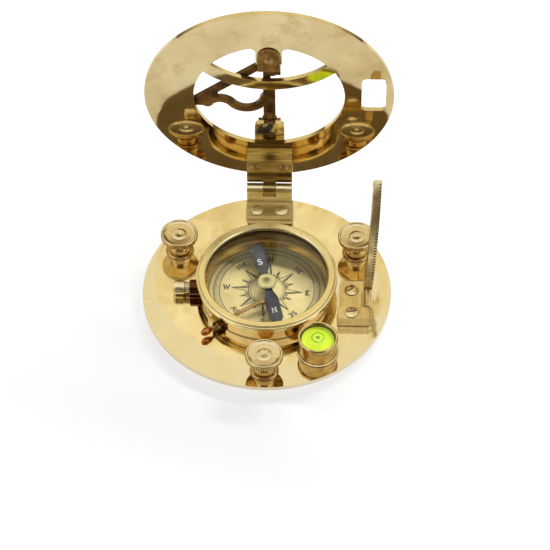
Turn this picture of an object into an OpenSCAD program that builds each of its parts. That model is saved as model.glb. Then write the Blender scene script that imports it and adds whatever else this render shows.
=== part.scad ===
// Folding sundial compass: a levelled base plate with a magnetic compass and a
// bull's-eye level, a hinged hour ring with a folding gnomon, and a latitude arc.
// Units are millimetres. The origin is the centre of the base plate's underside,
// +Z is up and +Y points to the hinge of the hour ring, which is north.

/* [Base plate] */
// Diameter of the base plate
plate_d = 100; // [98:1:110]
// Thickness of the base plate
plate_t = 1.8; // [1.7:0.1:3]

/* [Levelling screws] */
// Distance of each levelling screw from the base plate's edge
screw_inset = 8.5; // [8:0.5:9.5]
// Diameter of a screw's knurled head
head_d = 15; // [12:0.2:15.4]
// Height of the knurled rim
head_rim_h = 2.4; // [1.6:0.1:2.6]
// Height of the top of a head above the base plate
head_top = 10.8; // [10.4:0.1:12]
// Diameter of the threaded shank
shank_d = 3; // [2.4:0.1:3.4]
// Length of shank that stands out below the base plate
foot_reach = 2.7; // [2:0.1:5]
// Number of knurl grooves around a head
knurls = 48; // [18:2:48]
// Diameter of the flange of a bush
bush_flange_d = 11; // [9.4:0.2:11.4]
// Height of a bush above the base plate
bush_h = 4.6; // [3.6:0.1:5]

/* [Compass] */
// Outer diameter of the housing drum
housing_d = 52; // [48:1:53]
// Wall of the housing
housing_wall = 1.5; // [1.4:0.1:2.2]
// Height of the housing wall above the base plate
housing_h = 7.2; // [7:0.1:7.8]
// Depth that the housing is let into the base plate
recess = 1; // [0.4:0.1:1]
// Floor thickness of the housing
floor_t = 0.8; // [0.6:0.1:1.5]
// Overhang of the bezel past the housing
bezel_over = 2.3; // [2:0.1:2.6]
// Thickness of the bezel above the glass
bezel_t = 1.6; // [1.2:0.1:2]
// Width of the bezel's lip over the housing's edge
bezel_lip = 1.5; // [1.3:0.1:4]
// Thickness of the cover glass
glass_t = 1.2; // [0.8:0.1:1.6]
// Thickness of the dial card
card_t = 0.3; // [0.2:0.1:0.6]
// Length of the compass needle
needle_l = 41; // [34:1:42]
// Width of the compass needle at its ends
needle_w = 5.6; // [3.6:0.2:6]
// Thickness of the compass needle
needle_t = 0.6; // [0.4:0.1:0.8]
// Height of the needle's underside above the base plate
needle_z = 4.6; // [4.5:0.1:4.8]
// Angle of the needle's marked end, counted from +Y
needle_turn = 13; // [0:1:359]
// Diameter of the brass cap on the needle
cap_d = 7.8; // [6:0.2:9]

/* [Needle lifter] */
// Direction of the lifter's slot in the housing, from +X
lifter_az = 228; // [226:1:232]
// Heading of the lifter bar, from +X
lifter_heading = 37.5; // [35:0.5:40]
// Width of the lifter bar inside the housing
lifter_w = 1.6; // [1.2:0.1:3.2]
// Thickness of the lifter bar
lifter_t = 0.6; // [0.5:0.1:0.8]
// Length of the lifter bar from its pin to its hooked tip
lifter_in = 20.5; // [19:0.1:21]
// Length of the lifter from its pin to its button
lifter_out = 5.6; // [5.2:0.1:6.4]

/* [Clamp knob] */
// Diameter of the clamp knob
clamp_d = 5.8; // [5:0.1:6.2]
// Length of the clamp knob's head
clamp_l = 5; // [4:0.2:7]
// Distance of the clamp knob's outer end from the centre plane
clamp_reach = 37.7; // [36:0.1:38.4]

/* [Bull's-eye level] */
// Outer diameter of the level's cup
level_d = 15; // [13:0.2:15.4]
// Height of the level above the base plate
level_h = 9.4; // [7:0.2:10]
// Diameter of the bubble
bubble_d = 3.4; // [2.4:0.2:4.4]

/* [Main hinge] */
// Width of the hinge
hinge_w = 18.5; // [16:0.5:20]
// Height of the hinge pin above the base plate
hinge_z = 9; // [8.8:0.1:9.6]
// Distance of the hinge pin from the base plate's edge
hinge_inset = 2.6; // [2.4:0.1:3]
// Outer diameter of a hinge knuckle
knuckle_d = 4.4; // [4:0.1:4.6]
// Diameter of the hinge pin
hinge_pin_d = 1.9; // [1.6:0.1:2.2]
// Distance of the hour ring's underside from the hinge pin, square to the ring
ring_offset = 9.8; // [9.4:0.1:11]
// Opening angle of the hour ring as modelled; at 0 it lies shut over the base
dial_open = 85; // [60:1:95]

/* [Hour ring] */
// Outer diameter of the hour ring
ring_d = 100; // [96:1:101]
// Diameter of the opening in the hour ring
ring_bore = 60.6; // [59:0.2:62]
// Thickness of the hour ring
ring_t = 1.8; // [1.5:0.1:2.4]
// Width of the slot for the latitude arc
slot_w = 9.8; // [9.4:0.1:10]
// Length of the slot for the latitude arc
slot_l = 19.6; // [19:0.1:20]
// Width of the crescent bridge across the opening
bridge_w = 5; // [3:0.1:5.4]
// Width of the tongue that carries the gnomon's upper bracket
tongue_w = 10.4; // [9.6:0.2:12]
// Width of the tongue that carries the gnomon's lower bracket
low_tongue_w = 12; // [10:0.2:13]

/* [Gnomon] */
// Latitude that the gnomon is cut for
latitude = 50; // [48:0.5:52]
// Thickness of the gnomon plate
gnomon_t = 1.8; // [1.4:0.1:2]
// Width of the style bar
style_w = 3.1; // [2.2:0.1:3.4]
// Width of the spine
spine_w = 4.8; // [4:0.1:5.2]
// Width of the curved brace
brace_w = 3.2; // [2.4:0.1:3.4]
// Angle of the gnomon from the hour ring as modelled; 0 is flat, 90 is upright
gnomon_open = 0; // [0:5:90]

/* [Latitude arc] */
// Outer radius of the arc, about the main hinge pin
arc_r = 50; // [49.5:0.1:51]
// Radial width of the arc
arc_w = 7; // [6:0.1:8]
// Thickness of the arc
arc_t = 3.2; // [2.6:0.1:3.4]
// Upper end of the arc, in degrees of latitude
arc_top = 52; // [45:1:60]
// Step between the notches along the arc's edge, in degrees
notch_step = 1.5; // [1.5:0.5:5]
// Outward lean of the arc as modelled
arc_lean = 4; // [0:0.5:5]
// Distance of the arc's pin from the base plate's edge
arc_inset = 9.3; // [9:0.1:9.6]

/* [Hidden] */
$fn = 96;
fit = 0.05; // radial clearance of a shaft in a running bore
press = 0.02; // radial clearance of a pin in a tight bore
seam = 0.1; // gap between two pieces that slide past each other
eps = 0.01; // overlap of cutters with the faces they open
cut = 20; // length of cutters that pass right through

top = plate_t; // height of the base plate's upper face
screw_pcr = plate_d/2 - screw_inset; // distance of each levelling screw from the centre
hinge_y = plate_d/2 - hinge_inset; // distance of the hinge pin behind the centre
arc_x = plate_d/2 - arc_inset; // distance of the arc's pin from the centre plane

// Heights in the compass, from the base plate's upper face up
wall_top = top + housing_h;
glass_top = wall_top + glass_t;
bezel_top = glass_top + bezel_t;
collar_h = 0.3; // how far the bezel's collar reaches down the wall
collar_t = 0.7;
rim_gap = 0.2; // height of the bezel's outer rim above the end of the wall
housing_r = housing_d/2;
bore_r = housing_r - housing_wall; // inside of the housing
bezel_d = housing_d + 2*bezel_over;
window_d = housing_d - 2*bezel_lip;
housing_low = top - recess; // underside of the housing's floor
floor_top = housing_low + floor_t;
card_top = floor_top + card_t;
retainer_h = 2.4;
retainer_w = 1.4;

// Needle and post
post_base_d = 4.2;
post_base_h = 1;
post_d = 1.2;
socket_d = 1.5;
point_h = 0.7;
socket_h = 0.6; // straight part of the cap's socket
needle_bottom = top + needle_z;
cap_h = 0.9; // cylindrical part of the cap, over the needle
cap_dome = 0.75;
needle_bore_d = 3.2;
needle_waist = 3;

// Levelling screws
head_r = head_d/2;
knurl_r = 0.33; // half the diagonal of a knurl groove
shank_r = shank_d/2;
dish_depth = 0.6;
lip_w = 0.8;
boss_r = 2.6;
head_taper_h = 2;
neck_r = 3.5;
tip_flat_r = 0.9;
bush_body_r = bush_flange_d/2 - 1.1;
bush_flange_h = 0.9;
bush_spigot_r = 3.1;
screw_angles = [270, 30, 150]; // front, right and left

// Needle lifter, placed at its pin in the housing wall
lifter_z = 3; // height of the lifter pin above the base plate
lifter_pin_d = 0.8;
lifter_pin_r = housing_r + 2.5; // distance of the pin from the centre
lifter_slot_w = lifter_w + 1.2;
lifter_slot_h = 2.6;
button_d = 3.2;
guide_w = 3; // the block stands on one side of the lifter
guide_t = 3.6;
guide_h = 5;
spring_t = 0.7;
spring_h = 3;
spring_from = 194;
spring_to = 217;

// Clamp knob
clamp_y = -2;
clamp_z = 3.45; // height of its axis above the base plate
clamp_neck_l = 1.8;
clamp_boss_d = clamp_d + 0.6;
clamp_neck_d = clamp_d - 1.1;
clamp_spindle_d = 2.6;
clamp_spindle_l = 3.2;
clamp_boss_out = clamp_reach - clamp_l - clamp_neck_l - seam;

// Bull's-eye level
level_inset = 12.1; // distance of the level's axis from the base plate's edge
level_az = -56.5; // its direction, from +X
level_x = (plate_d/2 - level_inset)*cos(level_az);
level_y = (plate_d/2 - level_inset)*sin(level_az);
level_flange = 0.4;
level_rim_h = 2;
level_rim = 0.5; // how far the rim stands out of the cup
level_wall = 0.75;
level_floor = 2.4;
level_glass_t = 1.2;
level_seat = 0.3; // width of the shoulder under the level's glass

// Main hinge
foot_t = 2.3;
foot_l = 9.4;
foot_front = hinge_y - foot_l; // front edge of the hinge foot
leg_t = 2.2;
leg_front = hinge_y - leg_t/2;
knuckle_r = knuckle_d/2;
tongue_k = 5.2; // width of the moving knuckle
notch_z = 5; // floor of the notch for the moving knuckle, above the base plate
notch_over = 1; // the notch runs past the knuckles by this much
leaf_t = 2.2;
spacer_t = 2.8;
leaf_low = ring_offset - 2*spacer_t - leaf_t; // underside of the leaf, from the pin
leaf_from = 1.6; // near edge of the leaf, from the pin
stem_low = 0.4; // underside of the leaf's stem, from the pin
rib_from = 4.9; // near edge of the rib and of the spacers
leaf_to = 14.7;
rib_to = 6.4;
rib_t = 1.4;
rivet_x = 5.7;
rivet_at = 11.2; // distance of the rivets from the pin
rivet_d = 2.2;
rivet_head_d = 3.8;
rivet_head_h = 0.9;
foot_screw_x = 5.05;
foot_screw_y = hinge_y - 6.2;
foot_screw_turn = 22; // direction of the slots

// Slotted screws
slot_screw_d = 5.3;
slot_screw_h = 1.1;
slot_screw_shank_d = 2.6;
slot_screw_cut = 0.7;
slot_screw_deep = 0.55; // depth of the slot

// Hour ring, in its own frame: u along +X, v away from the hinge, w from its underside
ring_c = hinge_y; // centre of the ring from the pin, so that it shuts over the plate
ring_r = ring_d/2;
bore_edge = ring_bore/2;
slot_u = arc_x + 1.2; // beside the arc's pin, because the arc leans outward
slot_v = arc_r - arc_w/2 - ring_c + 2.7;
slot_corner = 2;
bridge_low = 4.5; // lowest point of the bridge
bridge_r = 37.5; // radius of the bridge's lower edge
top_tongue_v = 20;
low_tongue_v = -17.2;
fillet_r = 2.4; // fillets beside the upper tongue

// Gnomon
apex_v = 21.2; // where the style line meets the noon line
axis_w = ring_t + 0.35 + gnomon_t/2; // height of the gnomon's pins
barrel_r = 1.3;
barrel_l = 5;
gnomon_hi = 17; // upper end of the spine
gnomon_lo = -17.1; // lower end of the spine
gnomon_pin_d = 1.2;
pin_in = 3; // reach of each pin into the spine
ear_t = 1.5;
ear_w = 5;
low_ear_w = 6;
style_near = 5.2;
style_far = 40;
brace_high = [-19.9, -10.5]; // centre of the brace's upper arc
brace_high_r = 5.7;
brace_low = [-9.2, -3.6]; // centre of the brace's lower arc
nub = [-24.9, -7.1]; // rounded foot of the web under the style bar's tip
nub_r = 2.2;
web = [[-5.7, 1.1], [-4.7, -1.2], [-1.3, -1.5], [0, 0], [3.3, 1.9], [4.3, 5.9], [-1.1, 5.1]];
stop_u = 4.6; // reach of the stop lug on the spine
stop_v = [11, 15];
relief_u = 0.6; // the spine is cut back from here on, where it swings past the bridge
relief_v = [bridge_low - 1, bridge_low + bridge_w + 0.8];
bracket_t = 1.4;
bracket_rivet_v = 23.6;
bracket_screw_v = -25.4;
bracket_top_l = 9.6; // length of the upper bracket along its tongue
bracket_top_r = 4.4;
bracket_low_w = 9;
bracket_low_back = 3.4; // reach of the lower bracket past its screw
bracket_screw_d = 5.4;

// Latitude arc
arc_from = -6.5; // lower end of the arc, in degrees
arc_pin_z = 3.6; // height of the arc's pin above the base plate
arc_pin_d = 1.5;
arc_knuckle_r = 1.6;
notch_d = 0.5;
notch_w = 1.2;
notch_first = 2;
arc_foot_t = 2.2;
arc_pack_t = 2.6;
arc_front = hinge_y - arc_r; // front of the arc, level with the hinge pin
bracket_front = arc_front - 15.7;
bracket_back = arc_front + 6.2;
pack_back = arc_front - 9.6;
arc_foot_x = arc_x - 10.9;
arc_foot_w = 9.6;
pack_x = arc_x - 12.1;
pack_w = 12.5;
arc_screw_x = arc_x - 6.6;
arc_screw_y = [arc_front + 1.2, arc_front - 12.6];
arc_screw_turn = [35, 8]; // direction of their slots
arc_knuckle_from = arc_front - 9.4;
arc_knuckle_to = arc_front - seam; // the fixed knuckle ends here, and the arc's begins a seam later
arc_tang_to = arc_front + arc_w + 0.4;

// Placing

// Puts a levelling screw or its bush in its place; 0 is front, 1 right, 2 left
module at_screw(i) {
    rotate([0, 0, screw_angles[i]]) translate([screw_pcr, 0, 0]) children();
}

// Frame of the hour ring: u, v, w become X, Y, Z of what is placed
module at_ring() {
    translate([0, hinge_y, top + hinge_z])
        rotate([-dial_open, 0, 0])
        translate([0, -ring_c, ring_offset])
        rotate([0, 0, 180]) mirror([1, 0, 0]) children();
}

// Frame of the hinge leaf: X as it is, Y away from the pin, Z square to the ring
module at_leaf() {
    translate([0, hinge_y, top + hinge_z])
        rotate([-dial_open, 0, 0])
        rotate([0, 0, 180]) mirror([1, 0, 0]) children();
}

// Frame of the gnomon, turned about its pins
module at_gnomon() {
    at_ring() translate([0, 0, axis_w]) rotate([0, gnomon_open, 0]) children();
}

// Frame of the latitude arc: its pin at the origin, upright
module at_arc() {
    translate([arc_x, 0, top + arc_pin_z]) rotate([0, arc_lean, 0]) children();
}

// Common shapes

module tube(r_out, r_in, h) {
    difference() {
        cylinder(r = r_out, h = h);
        translate([0, 0, -eps]) cylinder(r = r_in, h = h + 2*eps);
    }
}

// Cheese-headed screw with a domed top and a slot; its seat is at z = 0
module slotted_screw(d, h, shank, depth, turn) {
    difference() {
        union() {
            intersection() {
                cylinder(d = d, h = h);
                translate([0, 0, h - d]) sphere(r = d);
            }
            translate([0, 0, -depth]) cylinder(d = shank, h = depth + eps);
        }
        rotate([0, 0, turn]) translate([-d, -slot_screw_cut/2, h - slot_screw_deep])
            cube([2*d, slot_screw_cut, h]);
    }
}

// Rivet head: a low dome on z = 0
module dome(d, h) {
    r = (d*d/4 + h*h)/(2*h);
    intersection() {
        cylinder(d = d, h = h);
        translate([0, 0, h - r]) sphere(r = r);
    }
}

// Base plate

module base_plate() {
    color([0.90, 0.76, 0.42]) difference() {
        cylinder(d = plate_d, h = plate_t);
        // pocket for the housing
        translate([0, 0, housing_low]) cylinder(r = housing_r + press, h = cut);
        for (i = [0:2]) at_screw(i)
            translate([0, 0, -eps]) cylinder(r = bush_spigot_r + press, h = plate_t + 2*eps);
        at_housing_screws() translate([0, 0, -eps])
            cylinder(d = housing_screw_d + 2*press, h = plate_t + 2*eps);
        at_housing_screws() countersink();
        at_foot_screws() translate([0, 0, -eps]) cylinder(d = slot_screw_shank_d, h = cut);
        at_arc_screws() translate([0, 0, -eps]) cylinder(d = slot_screw_shank_d, h = cut);
        translate([level_x, level_y, -eps]) cylinder(d = level_stud_d, h = cut);
    }
}

// Levelling screws and their bushes

module bush(i) {
    color([0.80, 0.66, 0.36]) at_screw(i) difference() {
        rotate_extrude() polygon([
            [0, 0], [bush_spigot_r, 0], [bush_spigot_r, top], [bush_flange_d/2, top],
            [bush_flange_d/2, top + bush_flange_h*0.6], [bush_flange_d/2 - 0.4, top + bush_flange_h],
            [bush_body_r - 0.35, top + bush_flange_h + 0.3], [bush_body_r, top + bush_flange_h + 0.9],
            [bush_body_r, top + bush_h - 0.7], [bush_body_r - 0.6, top + bush_h], [0, top + bush_h]]);
        translate([0, 0, -eps]) cylinder(r = shank_r + fit, h = top + bush_h + 2*eps);
    }
}

module level_screw(i) {
    head_low = top + head_top - head_rim_h; // underside of the rim
    color([0.84, 0.74, 0.50]) at_screw(i) difference() {
        union() {
            rotate_extrude() polygon([
                [0, -foot_reach], [tip_flat_r, -foot_reach], [shank_r, -foot_reach + 0.7],
                [shank_r, top + bush_h + 2*seam], [neck_r, top + bush_h + 2*seam],
                [neck_r + 0.5, head_low - head_taper_h + 0.5], [head_r - 1.6, head_low - 0.5],
                [head_r - 0.5, head_low], [head_r, head_low + 0.3],
                [head_r, head_low + head_rim_h - 0.35], [head_r - 0.35, head_low + head_rim_h],
                [head_r - lip_w, head_low + head_rim_h],
                [head_r - lip_w - 0.4, head_low + head_rim_h - dish_depth*0.6],
                [head_r - lip_w - 1.2, head_low + head_rim_h - dish_depth],
                [boss_r + 0.5, head_low + head_rim_h - dish_depth - 0.2],
                [boss_r, head_low + head_rim_h - dish_depth + 0.05],
                [boss_r - 0.6, head_low + head_rim_h - dish_depth + 0.15],
                [0.8, head_low + head_rim_h - dish_depth], [0, head_low + head_rim_h - dish_depth - 0.2]]);
        }
        for (k = [0:knurls - 1]) rotate([0, 0, k*360/knurls])
            translate([head_r + 0.08, 0, head_low + 0.25])
            cylinder(r = knurl_r, h = head_rim_h - 0.5, $fn = 4);
    }
}

// Compass housing and what it holds

housing_screw_d = 2.2;
housing_screw_r = 17;
housing_screw_head = housing_screw_d + 1.6;
sink_h = 0.6;
level_stud_d = 3;

module at_housing_screws() {
    for (a = [60, 180, 300]) rotate([0, 0, a]) translate([housing_screw_r, 0, 0]) children();
}

module countersink() {
    translate([0, 0, -eps])
        cylinder(d1 = housing_screw_head + 0.1, d2 = housing_screw_d + 0.06, h = sink_h + 2*eps);
}

module compass_housing() {
    color([0.86, 0.70, 0.36]) difference() {
        translate([0, 0, housing_low]) cylinder(r = housing_r, h = wall_top - housing_low);
        translate([0, 0, floor_top]) cylinder(r = bore_r, h = cut);
        // slot in the wall for the lifter bar
        at_lifter() translate([1, -lifter_slot_w/2, -lifter_slot_h/2])
            cube([housing_wall + 5, lifter_slot_w, lifter_slot_h]);
        at_housing_screws() cylinder(d = housing_screw_d + 2*press, h = cut/2);
    }
}

module housing_screws() {
    color([0.60, 0.55, 0.42]) at_housing_screws() difference() {
        union() {
            cylinder(d1 = housing_screw_head, d2 = housing_screw_d, h = sink_h);
            cylinder(d = housing_screw_d, h = floor_top);
        }
        translate([-housing_screw_d, -0.25, -eps]) cube([2*housing_screw_d, 0.5, sink_h/2]);
    }
}

module dial_card() {
    color([0.84, 0.80, 0.62]) difference() {
        translate([0, 0, floor_top]) cylinder(r = bore_r - seam, h = card_t);
        translate([0, 0, housing_low]) cylinder(d = post_base_d - 1, h = cut);
    }
}

module card_retainer() {
    color([0.72, 0.55, 0.26]) translate([0, 0, card_top]) difference() {
        rotate_extrude() polygon([
            [bore_r - retainer_w, 0], [bore_r, 0], [bore_r, retainer_h],
            [bore_r - 0.5, retainer_h], [bore_r - retainer_w, 0.6]]);
        at_lifter_flat() translate([-cut/2, -lifter_slot_w/2, -eps]) cube([cut/2, lifter_slot_w, cut]);
    }
}

module needle_post() {
    color([0.78, 0.62, 0.32]) translate([0, 0, floor_top]) union() {
        cylinder(d = post_base_d - 1, h = card_t + eps);
        translate([0, 0, card_t]) cylinder(d1 = post_base_d, d2 = post_base_d - 1.2, h = post_base_h);
        cylinder(d = post_d, h = needle_bottom + socket_h - floor_top);
        translate([0, 0, needle_bottom + socket_h - floor_top - eps])
            cylinder(d1 = post_d, d2 = 0.2, h = point_h);
    }
}

// Outline of the needle: a bar that is drawn in beside the cap
module needle_outline() {
    half = needle_l/2;
    quarter = [[needle_waist/2, 5.2], [needle_w/2, 8.6], [needle_w/2, half - 1.2], [needle_w/2 - 1, half]];
    flip = [for (i = [3:-1:0]) [-quarter[i][0], quarter[i][1]]];
    polygon(concat(quarter, flip, [for (q = quarter) -q], [for (q = flip) -q]));
}

module needle() {
    color([0.16, 0.18, 0.26]) translate([0, 0, needle_bottom]) rotate([0, 0, needle_turn])
        linear_extrude(height = needle_t) difference() {
            union() {
                needle_outline();
                circle(d = cap_d - 0.4);
            }
            circle(d = needle_bore_d);
        }
}

// Brass cap: a domed head over the needle, with a blind socket that sits on the post's point
module needle_cap() {
    socket_top = needle_bottom + socket_h + point_h + seam;
    color([0.88, 0.80, 0.56]) difference() {
        rotate_extrude() polygon([
            [0, needle_bottom], [needle_bore_d/2 - press, needle_bottom],
            [needle_bore_d/2 - press, needle_bottom + needle_t], [cap_d/2, needle_bottom + needle_t],
            [cap_d/2, needle_bottom + needle_t + cap_h*0.5],
            [cap_d/2 - 0.5, needle_bottom + needle_t + cap_h],
            [1.6, needle_bottom + needle_t + cap_h], [1, needle_bottom + needle_t + cap_h + cap_dome*0.8],
            [0, needle_bottom + needle_t + cap_h + cap_dome]]);
        translate([0, 0, needle_bottom - eps]) cylinder(d = socket_d, h = socket_h + 2*eps);
        translate([0, 0, needle_bottom + socket_h])
            cylinder(d1 = socket_d, d2 = 0.4, h = socket_top - needle_bottom - socket_h);
    }
}

module cover_glass() {
    color([0.80, 0.88, 0.88, 0.35]) translate([0, 0, wall_top]) cylinder(r = housing_r - seam, h = glass_t);
}

module bezel_ring() {
    r = bezel_d/2;
    rim_low = wall_top + rim_gap;
    color([0.93, 0.83, 0.58]) rotate_extrude() polygon([
        [window_d/2, glass_top], [housing_r + press, glass_top], [housing_r + press, wall_top - collar_h],
        [housing_r + collar_t, wall_top - collar_h], [housing_r + collar_t, rim_low],
        [r - 0.3, rim_low], [r, rim_low + 0.3], [r, bezel_top - 1], [r - 0.3, bezel_top - 0.7],
        [r - 1, bezel_top - 0.7], [r - 1, bezel_top - 0.25], [r - 1.25, bezel_top],
        [window_d/2 + 0.5, bezel_top], [window_d/2, bezel_top - 0.5]]);
}

// Needle lifter

// The lifter's own frame: X runs inward along the bar, its pin lies along Y
module at_lifter() {
    translate([lifter_pin_r*cos(lifter_az), lifter_pin_r*sin(lifter_az), top + lifter_z])
        rotate([0, 0, lifter_heading]) children();
}

// The same direction and place in plan, at height 0
module at_lifter_flat() {
    translate([lifter_pin_r*cos(lifter_az), lifter_pin_r*sin(lifter_az), 0])
        rotate([0, 0, lifter_heading]) translate([8, 0, 0]) children();
}

module lifter_lever() {
    w = lifter_w/2;
    color([0.76, 0.50, 0.36]) at_lifter() difference() {
        union() {
            // flat bar with a hooked tip that turns under the needle
            translate([0, 0, -lifter_t/2]) linear_extrude(height = lifter_t) polygon([
                [0, -w], [lifter_in, -w], [lifter_in + 1.4, -2.3], [lifter_in + 3, -4.8],
                [lifter_in + 4.4, -4.2], [lifter_in + 3.4, -2], [lifter_in + 1.5, 0.7],
                [lifter_in, w], [0, w]]);
            rotate([90, 0, 0]) cylinder(d = lifter_pin_d + 1.2, h = lifter_w, center = true);
            translate([-lifter_out + button_d/2 - 0.4, 0, 0]) rotate([0, 90, 0])
                cylinder(d = 1.3, h = lifter_out - button_d/2 + 0.4);
        }
        rotate([90, 0, 0]) cylinder(d = lifter_pin_d + 2*fit, h = cut, center = true);
    }
}

module lifter_button() {
    color([0.72, 0.42, 0.20]) at_lifter() translate([-lifter_out, 0, 0]) difference() {
        rotate([0, -90, 0]) rotate_extrude() polygon([
            [0, -2.4], [1, -2.4], [button_d/2 - 0.3, -1.5], [button_d/2, -0.5], [button_d/2, 0.6],
            [button_d/2 - 0.5, 1.6], [0.8, 2.1], [0, 2.2]]);
        translate([button_d/2 - 0.4, 0, 0]) rotate([0, 90, 0]) cylinder(d = 1.3, h = cut);
    }
}

module lifter_guide() {
    color([0.90, 0.80, 0.52]) difference() {
        at_lifter() translate([-guide_t/2, lifter_w/2 + seam, -lifter_z])
            cube([guide_t + 4, guide_w, guide_h]);
        translate([0, 0, top - eps]) cylinder(r = housing_r, h = cut);
        at_lifter() rotate([90, 0, 0]) cylinder(d = lifter_pin_d + 2*press, h = cut, center = true);
    }
}

module lifter_pin() {
    color([0.55, 0.55, 0.56]) at_lifter() rotate([-90, 0, 0]) {
        translate([0, 0, -lifter_w/2 - seam - 0.5]) cylinder(d = lifter_pin_d + 0.6, h = 0.5);
        translate([0, 0, -lifter_w/2 - seam]) cylinder(d = lifter_pin_d, h = lifter_w + 2*seam + guide_w);
    }
}

module lifter_spring() {
    color([0.82, 0.70, 0.42]) difference() {
        translate([0, 0, top]) intersection() {
            tube(housing_r + spring_t, housing_r, spring_h);
            rotate([0, 0, spring_from]) cube([cut*2, cut*2, cut]);
            rotate([0, 0, spring_to - 90]) cube([cut*2, cut*2, cut]);
        }
        for (a = [205, 211]) rotate([0, 0, a]) translate([housing_r, 0, top + 1.6])
            rotate([0, 90, 0]) cylinder(d = 0.8, h = cut, center = true);
    }
}

// Clamp knob

module at_clamp() {
    translate([-clamp_reach, clamp_y, top + clamp_z]) rotate([0, 90, 0]) children();
}

module clamp_boss() {
    start = clamp_reach - clamp_boss_out;
    color([0.62, 0.40, 0.26]) difference() {
        at_clamp() translate([0, 0, start]) cylinder(d = clamp_boss_d, h = clamp_boss_out - bore_r + 2);
        cylinder(r = housing_r, h = cut);
        at_clamp() translate([0, 0, start - eps])
            cylinder(d = clamp_spindle_d + 2*fit, h = clamp_spindle_l + 2*seam);
    }
}

module clamp_knob() {
    r = clamp_d/2;
    color([0.86, 0.72, 0.40]) at_clamp() difference() {
        rotate_extrude() polygon([
            [0, 0.3], [1, 0], [r - 0.9, 0], [r - 0.3, 0.3], [r, 1], [r, clamp_l - 1],
            [r - 0.3, clamp_l - 0.3], [r - 0.7, clamp_l], [clamp_neck_d/2, clamp_l],
            [clamp_neck_d/2, clamp_l + clamp_neck_l], [clamp_spindle_d/2, clamp_l + clamp_neck_l],
            [clamp_spindle_d/2, clamp_l + clamp_neck_l + clamp_spindle_l],
            [0, clamp_l + clamp_neck_l + clamp_spindle_l]]);
        for (k = [0:15]) rotate([0, 0, k*360/16])
            translate([clamp_neck_d/2 + 0.05, 0, clamp_l + 0.3])
            cylinder(r = knurl_r, h = clamp_neck_l - 0.6, $fn = 4);
    }
}

// Bull's-eye level

module at_level() {
    translate([level_x, level_y, top]) children();
}

module level_cup() {
    r = level_d/2;
    inner = r - level_wall;
    seat = level_h - 0.5 - level_glass_t; // shoulder that the glass rests on
    color([0.78, 0.62, 0.32]) at_level() union() {
        rotate_extrude() polygon([
            [0, 0], [r + level_rim, 0], [r + level_rim, level_flange], [r, level_flange + 0.3],
            [r, level_h - level_rim_h], [r + level_rim, level_h - level_rim_h + 0.4],
            [r + level_rim, level_h - 0.4], [r + level_rim - 0.4, level_h], [inner + 0.4, level_h],
            [inner, level_h - 0.4], [inner, seat], [inner - level_seat, seat],
            [inner - level_seat, level_floor], [0, level_floor]]);
        translate([0, 0, -plate_t]) cylinder(d = level_stud_d, h = plate_t + eps);
    }
}

module level_liquid() {
    inner = level_d/2 - level_wall - level_seat;
    seat = level_h - 0.5 - level_glass_t;
    color([0.72, 0.94, 0.16]) at_level() difference() {
        translate([0, 0, level_floor]) cylinder(r = inner, h = seat - level_floor);
        bubble_shape(seat);
    }
}

// A flattened bubble that lies against the underside of the level's glass
module bubble_shape(z) {
    translate([0, 0, z]) rotate([180, 0, 0]) dome(bubble_d, 0.9);
}

module level_bubble() {
    seat = level_h - 0.5 - level_glass_t;
    color([0.90, 0.98, 0.70]) at_level() bubble_shape(seat);
}

module level_glass() {
    seat = level_h - 0.5 - level_glass_t;
    color([0.85, 0.95, 0.80, 0.35]) at_level() translate([0, 0, seat])
        cylinder(r = level_d/2 - level_wall, h = level_glass_t);
}

// Main hinge

module at_foot_screws() {
    for (x = [-foot_screw_x, foot_screw_x]) translate([x, foot_screw_y, 0]) children();
}

module hinge_foot() {
    color([0.66, 0.56, 0.28]) difference() {
        union() {
            translate([-hinge_w/2, foot_front, top])
                cube([hinge_w, leg_front + leg_t - foot_front, foot_t]);
            translate([-hinge_w/2, leg_front, top]) cube([hinge_w, leg_t, hinge_z]);
            translate([-hinge_w/2, hinge_y, top + hinge_z]) rotate([0, 90, 0])
                cylinder(r = knuckle_r, h = hinge_w);
        }
        // notch for the moving knuckle
        translate([-tongue_k/2 - seam, hinge_y - knuckle_r - notch_over, top + notch_z])
            cube([tongue_k + 2*seam, 2*knuckle_r + 2*notch_over, cut]);
        translate([-hinge_w/2 - eps, hinge_y, top + hinge_z]) rotate([0, 90, 0])
            cylinder(d = hinge_pin_d + 2*press, h = hinge_w + 2*eps);
        at_foot_screws() translate([0, 0, top - eps]) cylinder(d = slot_screw_shank_d, h = cut);
    }
}

module hinge_foot_screws() {
    color([0.74, 0.64, 0.36]) at_foot_screws() translate([0, 0, top + foot_t])
        slotted_screw(slot_screw_d, slot_screw_h, slot_screw_shank_d, foot_t + plate_t, foot_screw_turn);
}

module hinge_pin() {
    color([0.70, 0.60, 0.32]) translate([-hinge_w/2, hinge_y, top + hinge_z]) rotate([0, 90, 0])
        cylinder(d = hinge_pin_d, h = hinge_w);
}

module at_rivets() {
    for (x = [-rivet_x, rivet_x]) translate([x, rivet_at, 0]) children();
}

// Moving leaf: a T, with its knuckle, a stem, a thick cross bar and a plate
module hinge_leaf() {
    color([0.66, 0.56, 0.28]) at_leaf() difference() {
        union() {
            translate([-tongue_k/2, 0, 0]) rotate([0, 90, 0]) cylinder(r = knuckle_r, h = tongue_k);
            translate([-tongue_k/2, 0, stem_low])
                cube([tongue_k, rib_from + 1, leaf_low + leaf_t - stem_low]);
            translate([-hinge_w/2, leaf_from, leaf_low]) cube([hinge_w, leaf_to - leaf_from, leaf_t]);
            translate([-hinge_w/2, rib_from, leaf_low - rib_t])
                cube([hinge_w, rib_to - rib_from, rib_t + eps]);
        }
        translate([-cut/2, 0, 0]) rotate([0, 90, 0]) cylinder(d = hinge_pin_d + 2*fit, h = cut);
        at_rivets() translate([0, 0, -cut/2]) cylinder(d = rivet_d, h = cut);
    }
}

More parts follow.
